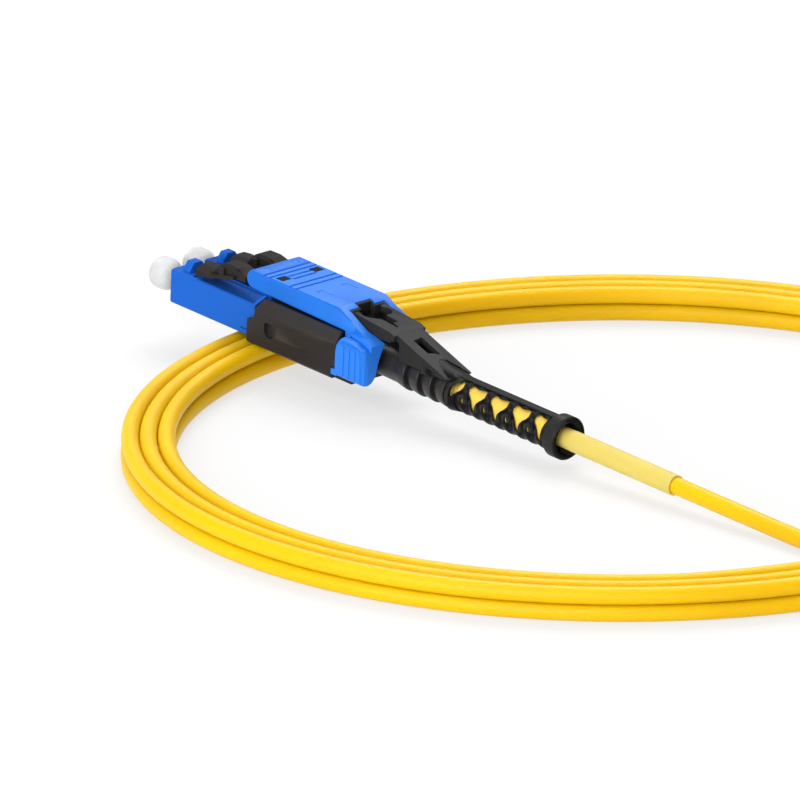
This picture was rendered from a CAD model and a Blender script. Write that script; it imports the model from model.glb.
import math

import bpy
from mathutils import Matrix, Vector


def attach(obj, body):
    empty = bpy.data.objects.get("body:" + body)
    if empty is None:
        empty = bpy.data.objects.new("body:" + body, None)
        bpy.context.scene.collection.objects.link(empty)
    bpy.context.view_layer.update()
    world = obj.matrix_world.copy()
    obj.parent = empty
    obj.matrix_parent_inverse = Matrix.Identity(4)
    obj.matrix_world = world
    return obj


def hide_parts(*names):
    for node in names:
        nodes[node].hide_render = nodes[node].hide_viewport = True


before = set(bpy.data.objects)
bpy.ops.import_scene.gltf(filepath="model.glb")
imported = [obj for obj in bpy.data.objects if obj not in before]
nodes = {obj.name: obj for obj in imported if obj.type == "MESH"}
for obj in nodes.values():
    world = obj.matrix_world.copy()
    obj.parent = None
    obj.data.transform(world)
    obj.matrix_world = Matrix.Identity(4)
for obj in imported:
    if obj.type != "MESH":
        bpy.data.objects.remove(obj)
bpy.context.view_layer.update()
MM = 0.001


# ------------------------------------------------------------------ node helpers
def new_material(name):
    m = bpy.data.materials.new(name)
    m.use_nodes = True
    nt = m.node_tree
    nt.nodes.clear()
    out = nt.nodes.new("ShaderNodeOutputMaterial")
    bsdf = nt.nodes.new("ShaderNodeBsdfPrincipled")
    nt.links.new(bsdf.outputs["BSDF"], out.inputs["Surface"])
    return m, nt, bsdf


def coords(nt):
    return nt.nodes.new("ShaderNodeTexCoord").outputs["Object"]


def noise(nt, vec, scale, detail=3.0, rough=0.5, distort=0.0):
    n = nt.nodes.new("ShaderNodeTexNoise")
    n.inputs["Scale"].default_value = scale
    n.inputs["Detail"].default_value = detail
    n.inputs["Roughness"].default_value = rough
    n.inputs["Distortion"].default_value = distort
    nt.links.new(vec, n.inputs["Vector"])
    return n.outputs["Fac"]


def ramp(nt, fac, stops):
    r = nt.nodes.new("ShaderNodeValToRGB")
    el = r.color_ramp.elements
    while len(el) < len(stops):
        el.new(0.5)
    for e, (p, c) in zip(el, stops):
        e.position = p
        e.color = (c[0], c[1], c[2], 1.0)
    nt.links.new(fac, r.inputs["Fac"])
    return r.outputs["Color"]


def math_node(nt, op, a, b=None, c=None):
    n = nt.nodes.new("ShaderNodeMath")
    n.operation = op
    for i, v in enumerate((a, b, c)):
        if v is None:
            continue
        if isinstance(v, (int, float)):
            n.inputs[i].default_value = v
        else:
            nt.links.new(v, n.inputs[i])
    return n.outputs[0]


def bump(nt, height, strength, distance, normal=None):
    b = nt.nodes.new("ShaderNodeBump")
    b.inputs["Strength"].default_value = strength
    b.inputs["Distance"].default_value = distance
    nt.links.new(height, b.inputs["Height"])
    if normal is not None:
        nt.links.new(normal, b.inputs["Normal"])
    return b.outputs["Normal"]


def shade(c, k):
    return tuple(min(1.0, v * k) for v in c)


def plastic(name, color, rough=0.4, grain=2600.0, grain_height=0.000004, mottle=0.06, spec=0.5, wear=None):
    """Moulded plastic: faint mottling, a fine spark-eroded grain, uneven gloss and lighter worn edges."""
    m, nt, bsdf = new_material(name)
    vec = coords(nt)
    broad = noise(nt, vec, 160.0, 3.0, 0.55)
    fine = noise(nt, vec, grain, 2.0, 0.6)
    col = ramp(nt, broad, [(0.3, shade(color, 1.0 - mottle)), (0.7, shade(color, 1.0 + mottle))])
    if wear is not None:
        geo = nt.nodes.new("ShaderNodeNewGeometry")
        edge = ramp(nt, geo.outputs["Pointiness"], [(0.52, (0, 0, 0)), (0.6, (1, 1, 1))])
        mix = nt.nodes.new("ShaderNodeMix")
        mix.data_type = "RGBA"
        nt.links.new(math_node(nt, "MULTIPLY", edge, 0.35), mix.inputs["Factor"])
        nt.links.new(col, mix.inputs["A"])
        mix.inputs["B"].default_value = (*wear, 1.0)
        col = mix.outputs["Result"]
    nt.links.new(col, bsdf.inputs["Base Color"])
    r = math_node(nt, "MULTIPLY_ADD", broad, 0.12, rough - 0.06)
    nt.links.new(r, bsdf.inputs["Roughness"])
    nt.links.new(bump(nt, fine, 0.25, grain_height), bsdf.inputs["Normal"])
    bsdf.inputs["Specular IOR Level"].default_value = spec
    return m


def metal(name, color, rough=0.3, line=5200.0):
    m, nt, bsdf = new_material(name)
    vec = coords(nt)
    streak = noise(nt, vec, line, 3.0, 0.6, 0.4)
    nt.links.new(ramp(nt, streak, [(0.3, shade(color, 0.85)), (0.7, shade(color, 1.08))]), bsdf.inputs["Base Color"])
    nt.links.new(math_node(nt, "MULTIPLY_ADD", streak, 0.2, rough - 0.1), bsdf.inputs["Roughness"])
    nt.links.new(bump(nt, streak, 0.2, 0.000004), bsdf.inputs["Normal"])
    bsdf.inputs["Metallic"].default_value = 1.0
    return m


def jacket(name, color, rough=0.42, spec=0.3, inner=0.0):
    """Extruded cable jacket: smooth, with slow colour drift and faint draw lines."""
    m, nt, bsdf = new_material(name)
    vec = coords(nt)
    drift = noise(nt, vec, 45.0, 2.0, 0.5)
    fine = noise(nt, vec, 1800.0, 3.0, 0.6)
    nt.links.new(ramp(nt, drift, [(0.3, shade(color, 0.95)), (0.7, shade(color, 1.04))]), bsdf.inputs["Base Color"])
    nt.links.new(math_node(nt, "MULTIPLY_ADD", fine, 0.1, rough - 0.05), bsdf.inputs["Roughness"])
    nt.links.new(bump(nt, fine, 0.15, 0.000006), bsdf.inputs["Normal"])
    bsdf.inputs["Specular IOR Level"].default_value = spec
    bsdf.inputs["Subsurface Weight"].default_value = inner
    bsdf.inputs["Subsurface Radius"].default_value = (1.0, 0.7, 0.12)
    bsdf.inputs["Subsurface Scale"].default_value = 0.003
    return m


def tube(name, inside, outside, axis, start):
    """The sleeve: a soft extruded tube whose colour is deeper where the boot covers it."""
    m = jacket(name, outside, 0.5, spec=0.12, inner=0.6)
    nt = m.node_tree
    bsdf = next(n for n in nt.nodes if n.type == "BSDF_PRINCIPLED")
    pale = bsdf.inputs["Base Color"].links[0].from_socket
    dot = nt.nodes.new("ShaderNodeVectorMath")
    dot.operation = "DOT_PRODUCT"
    nt.links.new(coords(nt), dot.inputs[0])
    dot.inputs[1].default_value = axis
    along = math_node(nt, "MULTIPLY_ADD", dot.outputs["Value"], 400.0, -400.0 * start)
    fade = ramp(nt, along, [(0.0, (0, 0, 0)), (1.0, (1, 1, 1))])
    mix = nt.nodes.new("ShaderNodeMix")
    mix.data_type = "RGBA"
    nt.links.new(fade, mix.inputs["Factor"])
    mix.inputs["A"].default_value = (*inside, 1.0)
    nt.links.new(pale, mix.inputs["B"])
    nt.links.new(mix.outputs["Result"], bsdf.inputs["Base Color"])
    return m


def frosted(name):
    """Frosted translucent plastic of the dust caps."""
    m, nt, bsdf = new_material(name)
    vec = coords(nt)
    broad = noise(nt, vec, 420.0, 3.0, 0.55)
    fine = noise(nt, vec, 3000.0, 2.0, 0.6)
    nt.links.new(ramp(nt, broad, [(0.3, (0.47, 0.472, 0.474)), (0.7, (0.58, 0.581, 0.582))]), bsdf.inputs["Base Color"])
    nt.links.new(math_node(nt, "MULTIPLY_ADD", fine, 0.2, 0.42), bsdf.inputs["Roughness"])
    nt.links.new(bump(nt, fine, 0.3, 0.000008), bsdf.inputs["Normal"])
    bsdf.inputs["Subsurface Weight"].default_value = 0.9
    bsdf.inputs["Subsurface Radius"].default_value = (1.0, 1.0, 1.0)
    bsdf.inputs["Subsurface Scale"].default_value = 0.0025
    bsdf.inputs["Specular IOR Level"].default_value = 0.15
    bsdf.inputs["Transmission Weight"].default_value = 0.12
    bsdf.inputs["IOR"].default_value = 1.4
    return m


MAT = {
    "plug": plastic("plug_blue", (0.0002, 0.038, 0.250), 0.42, spec=0.03, wear=(0.03, 0.19, 0.75)),
    "cover": plastic("cover_blue", (0.004, 0.114, 0.52), 0.42, spec=0.14, wear=(0.05, 0.25, 0.85)),
    "shell": plastic("shell_black", (0.0132, 0.0116, 0.0126), 0.46, spec=0.22, wear=(0.06, 0.055, 0.053)),
    "latch": plastic("latch_black", (0.0052, 0.0045, 0.0045), 0.5, spec=0.03, wear=(0.05, 0.045, 0.043)),
    "lid": plastic("lid_black", (0.006, 0.0055, 0.0055), 0.5, spec=0.2),
    "boot": plastic("boot_black", (0.0034, 0.0030, 0.0030), 0.36, spec=0.045, wear=(0.05, 0.05, 0.05)),
    "relief": plastic("relief_black", (0.0165, 0.0150, 0.0150), 0.36, grain=1800.0, spec=0.34),
    "cable": jacket("cable_yellow", (0.665, 0.405, 0.0010), spec=0.16, inner=0.9),
    "cap": frosted("cap_frosted"),
    "ceramic": plastic("ferrule_ceramic", (0.62, 0.61, 0.59), 0.16, mottle=0.02),
    "seat": plastic("seat_plastic", (0.40, 0.40, 0.39), 0.5),
    "fibre": jacket("fibre_buffer", (0.52, 0.53, 0.56), 0.3),
    "flange": metal("flange_metal", (0.55, 0.55, 0.56), 0.3),
    "spring": metal("spring_steel", (0.46, 0.46, 0.48), 0.28),
    "post": metal("post_brass", (0.62, 0.45, 0.19), 0.3),
    "ring": metal("ring_metal", (0.58, 0.58, 0.6), 0.35),
}


# ------------------------------------------------------------------ CAD nodes: finish
def smooth_tree(degrees):
    nt = bpy.data.node_groups.new("smooth_by_%d_degrees" % degrees, "GeometryNodeTree")
    nt.interface.new_socket("Geometry", in_out="INPUT", socket_type="NodeSocketGeometry")
    nt.interface.new_socket("Geometry", in_out="OUTPUT", socket_type="NodeSocketGeometry")
    gi = nt.nodes.new("NodeGroupInput")
    go = nt.nodes.new("NodeGroupOutput")
    face = nt.nodes.new("GeometryNodeSetShadeSmooth")
    face.domain = "FACE"
    edge = nt.nodes.new("GeometryNodeSetShadeSmooth")
    edge.domain = "EDGE"
    ang = nt.nodes.new("GeometryNodeInputMeshEdgeAngle")
    cmp = nt.nodes.new("FunctionNodeCompare")
    cmp.data_type = "FLOAT"
    cmp.operation = "GREATER_THAN"
    cmp.inputs[1].default_value = math.radians(degrees)
    nt.links.new(gi.outputs[0], face.inputs["Geometry"])
    nt.links.new(face.outputs["Geometry"], edge.inputs["Geometry"])
    nt.links.new(ang.outputs["Unsigned Angle"], cmp.inputs[0])
    nt.links.new(cmp.outputs[0], edge.inputs["Selection"])
    edge.inputs["Shade Smooth"].default_value = False
    nt.links.new(edge.outputs["Geometry"], go.inputs[0])
    return nt


SMOOTH = {d: smooth_tree(d) for d in (10, 30)}


def dress(name, mat, bevel=0.0, crisp=30):
    o = nodes[name]
    o.data.materials.clear()
    o.data.materials.append(MAT[mat])
    w = o.modifiers.new("weld", "WELD")
    w.merge_threshold = 0.000001
    if bevel > 0:
        b = o.modifiers.new("bevel", "BEVEL")
        b.width = bevel
        b.segments = 2
        b.limit_method = "ANGLE"
        b.angle_limit = math.radians(crisp + 3.0)
        b.use_clamp_overlap = True
    s = o.modifiers.new("smooth", "NODES")
    s.node_group = SMOOTH[crisp]
    n = o.modifiers.new("normals", "WEIGHTED_NORMAL")
    n.keep_sharp = True
    n.weight = 90


for t in ("a", "b"):
    for s in ("left", "right"):
        dress("plug_housing_%s_%s" % (s, t), "plug", 0.00006)
        dress("latch_%s_%s" % (s, t), "latch", 0.00004, 10)
        dress("ferrule_%s_%s" % (s, t), "ceramic")
        dress("ferrule_flange_%s_%s" % (s, t), "flange")
        dress("ferrule_spring_%s_%s" % (s, t), "spring")
        dress("spring_seat_%s_%s" % (s, t), "seat")
        dress("fibre_%s_%s" % (s, t), "fibre")
        dress("dust_cap_%s_%s" % (s, t), "cap")
    dress("body_shell_" + t, "shell", 0.00006)
    dress("body_lid_" + t, "lid")
    dress("release_cover_" + t, "cover", 0.00006)
    dress("pull_boot_" + t, "boot", 0.00005)
    dress("strain_relief_" + t, "relief")
    dress("crimp_post_" + t, "post")
    dress("crimp_ring_" + t, "ring")


# ------------------------------------------------------------------ connector frames
def local(yaw, pitch, at):
    a, p = math.radians(yaw), math.radians(pitch)
    u = Vector((math.cos(a) * math.cos(p), -math.sin(a) * math.cos(p), -math.sin(p)))
    v = Vector((math.sin(a), math.cos(a), 0.0))
    w = Vector((math.sin(p) * math.cos(a), -math.sin(p) * math.sin(a), math.cos(p)))
    o = Vector(at)
    return lambda x, y, z: (o + u * x + v * y + w * z) * MM


A = local(47.8, 3.5, (-58.53, 53.90, 9.42))
B = local(90.0, 3.0, (43.9, 67.2, 9.88))
for t, P3 in (("a", A), ("b", B)):
    start = P3(75.4, 0, 0)
    axis = (P3(76.4, 0, 0) - start).normalized()
    MAT["sleeve_" + t] = tube("sleeve_yellow_" + t, (0.80, 0.480, 0.078), (0.74, 0.485, 0.103), axis, start.dot(axis))
    dress("sleeve_" + t, "sleeve_" + t)


# ------------------------------------------------------------------ moulded ridges of the boot and pads in the cover's windows
def sweep(path, radius, verts, faces, ring=8):
    """A rounded bead along a path, closed at both ends."""
    base = len(verts)
    side = None
    for k, p in enumerate(path):
        t = (path[min(k + 1, len(path) - 1)] - path[max(k - 1, 0)]).normalized()
        if side is None:
            side = t.orthogonal().normalized()
        side = (side - t * side.dot(t)).normalized()
        other = t.cross(side)
        for j in range(ring):
            a = 2.0 * math.pi * j / ring
            verts.append(p + (side * math.cos(a) + other * math.sin(a)) * radius)
    for k in range(len(path) - 1):
        for j in range(ring):
            a, b = base + k * ring + j, base + k * ring + (j + 1) % ring
            faces.append((a, b, b + ring, a + ring))
    faces.append(tuple(base + j for j in reversed(range(ring))))
    last_ring = base + (len(path) - 1) * ring
    faces.append(tuple(last_ring + j for j in range(ring)))


def curve_through(pts, steps=6):
    """Catmull-Rom points through a list of (x, z)."""
    out = []
    for k in range(len(pts) - 1):
        p0, p1, p2, p3 = pts[max(k - 1, 0)], pts[k], pts[k + 1], pts[min(k + 2, len(pts) - 1)]
        for j in range(steps):
            t = j / steps
            out.append(tuple(0.5 * (2 * b + (c - a) * t + (2 * a - 5 * b + 4 * c - d) * t * t + (3 * b - a - 3 * c + d) * t ** 3)
                             for a, b, c, d in zip(p0, p1, p2, p3)))
    out.append(pts[-1])
    return out


def mesh_piece(name, verts, faces, mat, body, bevel=0.0):
    me = bpy.data.meshes.new(name)
    me.from_pydata([tuple(v) for v in verts], [], faces)
    me.update()
    o = bpy.data.objects.new(name, me)
    bpy.context.scene.collection.objects.link(o)
    me.materials.append(MAT[mat])
    if bevel > 0:
        b = o.modifiers.new("bevel", "BEVEL")
        b.width = bevel
        b.segments = 3
    for f in me.polygons:
        f.use_smooth = bevel == 0
    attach(o, body)
    return o


WIN_X, PITCH, BOOT_R = 59.2, 4.53, 2.38
for tag, P3 in (("a", A), ("b", B)):
    verts, faces = [], []
    for k in range(-1, 3):
        d = WIN_X + PITCH * (k + 0.5)
        for sy in (-1.0, 1.0):
            def wrap(x, z):
                return P3(d + x, sy * math.sqrt(max((BOOT_R + (0.1 if abs(z) > 2.2 else 0.0)) ** 2 - z * z, 0.01)), z - 0.4)
            rear = curve_through([(-0.25, -1.16), (0.12, -1.14), (0.6, -1.0), (0.98, -0.66), (1.1, -0.18), (1.0, 0.35), (0.70, 0.85),
                                  (0.36, 1.3), (0.14, 1.75), (0.2, 2.08), (0.42, 2.3), (0.75, 2.42)])
            front = curve_through([(0.1, -1.14), (-0.5, -1.06), (-0.92, -0.70), (-1.1, -0.2), (-1.0, 0.3), (-0.72, 0.78)])
            sweep([wrap(x, z) for x, z in rear], 0.12 * MM, verts, faces)
            sweep([wrap(x, z) for x, z in front], 0.09 * MM, verts, faces)
    # the last ridge in front of the collar and two lines along the spine
    for sy in (-1.0, 1.0):
        line = [P3(54.6 + 0.5 * k, sy * 0.60, 2.58 - 0.4) for k in range(39)]
        sweep(line, 0.07 * MM, verts, faces, 6)
    mesh_piece("boot_ridges_" + tag, verts, faces, "boot", "slider_" + tag)
    verts, faces = [], []
    for sy in (-1.0, 1.0):
        lo, hi = sorted((sy * 2.27, sy * 3.93))
        b = len(verts)
        for z in (6.53, 6.66):
            for x, y in ((19.64, lo), (21.01, lo), (21.01, hi), (19.64, hi)):
                verts.append(P3(x, y, z))
        faces += [(b, b + 3, b + 2, b + 1), (b + 4, b + 5, b + 6, b + 7)]
        faces += [(b + j, b + (j + 1) % 4, b + 4 + (j + 1) % 4, b + 4 + j) for j in range(4)]
    mesh_piece("press_pads_" + tag, verts, faces, "latch", "slider_" + tag, 0.00004)


# ------------------------------------------------------------------ cable
R1, R2, R3 = 63.06, 65.66, 68.26
LOW, HIGH = 1.27, 3.73
N = 30
KEEP = 0.75 + 0.25 * math.cos(2 * math.pi / N)
turns = [(R1, LOW), (R2, LOW), (R3, LOW), (R3, HIGH), (R2, HIGH), (R1, HIGH)]

route = [A(90, 0, -0.4), A(100, 0, -0.4), A(111, 0, -0.4), A(122, 0, -0.4),
         Vector((29.72, -43.34, 1.28)) * MM, Vector((38.74, -45.42, 1.27)) * MM, Vector((47.51, -42.03, 1.27)) * MM,
         Vector((53.12, -34.31, 1.27)) * MM]
phi = -18.0
last = 360.0 * 6 - 68.0
while phi <= last:
    k = int((phi + 30.0) // 360.0)
    f = phi - 360.0 * k
    r, z = turns[k]
    if f > 292.0 and k < 5:
        q = (f - 292.0) / 38.0
        q = q * q * (3 - 2 * q)
        r2, z2 = turns[k + 1]
        lift = 1.2 * math.sin(math.pi * q) if z2 != z else 0.0
        r, z = r + (r2 - r) * q + lift, z + (z2 - z) * q
    a = math.radians(phi)
    wob = 0.05 * math.sin(2.0 * a + 1.7 * k) + 0.04 * math.sin(3.0 * a + 2.3 * k)
    rc = (r + wob) / KEEP
    route.append(Vector((rc * math.cos(a), rc * math.sin(a), z)) * MM)
    phi += 360.0 / N
route += [Vector((35.7, -53.1, 3.85)) * MM, Vector((43.9, -40.5, 4.02)) * MM, B(99, 0, -0.4), B(94, 0, -0.4), B(90, 0, -0.4)]

cu = bpy.data.curves.new("patch_cable", "CURVE")
cu.dimensions = "3D"
sp = cu.splines.new("NURBS")
sp.points.add(len(route) - 1)
for p, c in zip(sp.points, route):
    p.co = (c.x, c.y, c.z, 1.0)
sp.order_u = 3
sp.use_endpoint_u = True
sp.resolution_u = 6
cu.bevel_depth = 1.25 * MM
cu.bevel_resolution = 6
cu.use_fill_caps = True
cable = bpy.data.objects.new("patch_cable", cu)
bpy.context.scene.collection.objects.link(cable)
cu.materials.append(MAT["cable"])
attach(cable, "cable")
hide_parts("cable_coil", "cable_lead_a", "cable_lead_b", "cable_tail_a", "cable_tail_b")

P = [c for c in route]
for i in range(1, len(P) - 1):
    a, b, c = (P[i - 1] + P[i]) / 2, P[i], (P[i] + P[i + 1]) / 2
    if i == 1:
        a = P[0]
    if i == len(P) - 2:
        c = P[-1]
    for j in range(8):
        s = j / 8.0

ends = [n for n in sorted(nodes) if n.endswith("_b") and not n.startswith(("cable_", "fibre_"))]
ends += ["boot_ridges_b", "press_pads_b"]
tuple(A(98.5, 0, -0.4))

# ------------------------------------------------------------------ floor, light, camera
bpy.ops.mesh.primitive_plane_add(size=12.0, location=(0, 0, 0))
floor = bpy.context.object
floor.name = "floor"
m, nt, bsdf = new_material("floor_white")
vec = coords(nt)
tint = ramp(nt, noise(nt, vec, 3.0), [(0.3, (0.222, 0.222, 0.222)), (0.7, (0.230, 0.230, 0.230))])
nt.links.new(tint, bsdf.inputs["Base Color"])
bsdf.inputs["Emission Color"].default_value = (1.0, 1.0, 1.0, 1.0)
bsdf.inputs["Emission Strength"].default_value = 0.645
bsdf.inputs["Roughness"].default_value = 0.9
bsdf.inputs["Specular IOR Level"].default_value = 0.1
floor.data.materials.append(m)

world = bpy.data.worlds.new("studio")
bpy.context.scene.world = world
world.use_nodes = True
bg = world.node_tree.nodes["Background"]
bg.inputs["Color"].default_value = (1.0, 1.0, 1.0, 1.0)
bg.inputs["Strength"].default_value = 0.40


def area(name, loc, target, size, power):
    d = bpy.data.lights.new(name, "AREA")
    d.shape = "RECTANGLE"
    d.size, d.size_y = size
    d.energy = power
    o = bpy.data.objects.new(name, d)
    bpy.context.scene.collection.objects.link(o)
    o.location = loc
    o.rotation_mode = "QUATERNION"
    o.rotation_quaternion = (Vector(target) - Vector(loc)).to_track_quat("-Z", "Y")
    return o


area("back", (0.06, 0.55, 0.72), (-0.01, 0.0, 0.0), (0.6, 0.6), 7.2)
area("fill", (-0.50, -0.60, 0.40), (-0.01, 0.0, 0.0), (0.9, 0.9), 8.9)
area("front", (-0.22, -0.93, 0.09), (-0.01, 0.0, 0.0), (1.0, 0.15), 3.6)
area("top", (-0.05, 0.05, 0.95), (-0.01, 0.0, 0.0), (1.0, 1.0), 1.6)

ELEV = math.radians(18.475)
CY = 462.7
S = 7.2
LENS, SENSOR = 1500.0, 36.0
cam_d = bpy.data.cameras.new("camera")
cam_d.type = "PERSP"
cam_d.sensor_width = SENSOR
cam_d.lens = LENS
width = 800.0 / S * MM
dist = width / (SENSOR / LENS)
up = (CY - 400.0) / S
target = Vector(((400.0 - 621.0) / S, up * math.sin(ELEV), up * math.cos(ELEV))) * MM
back = Vector((0.0, -math.cos(ELEV), math.sin(ELEV)))
cam = bpy.data.objects.new("camera", cam_d)
bpy.context.scene.collection.objects.link(cam)
cam.location = target + back * dist
cam.rotation_mode = "QUATERNION"
cam.rotation_quaternion = (-back).to_track_quat("-Z", "Y")
cam_d.clip_start, cam_d.clip_end = 0.1, 40.0
bpy.context.scene.camera = cam
bpy.context.scene.view_settings.view_transform = "Standard"
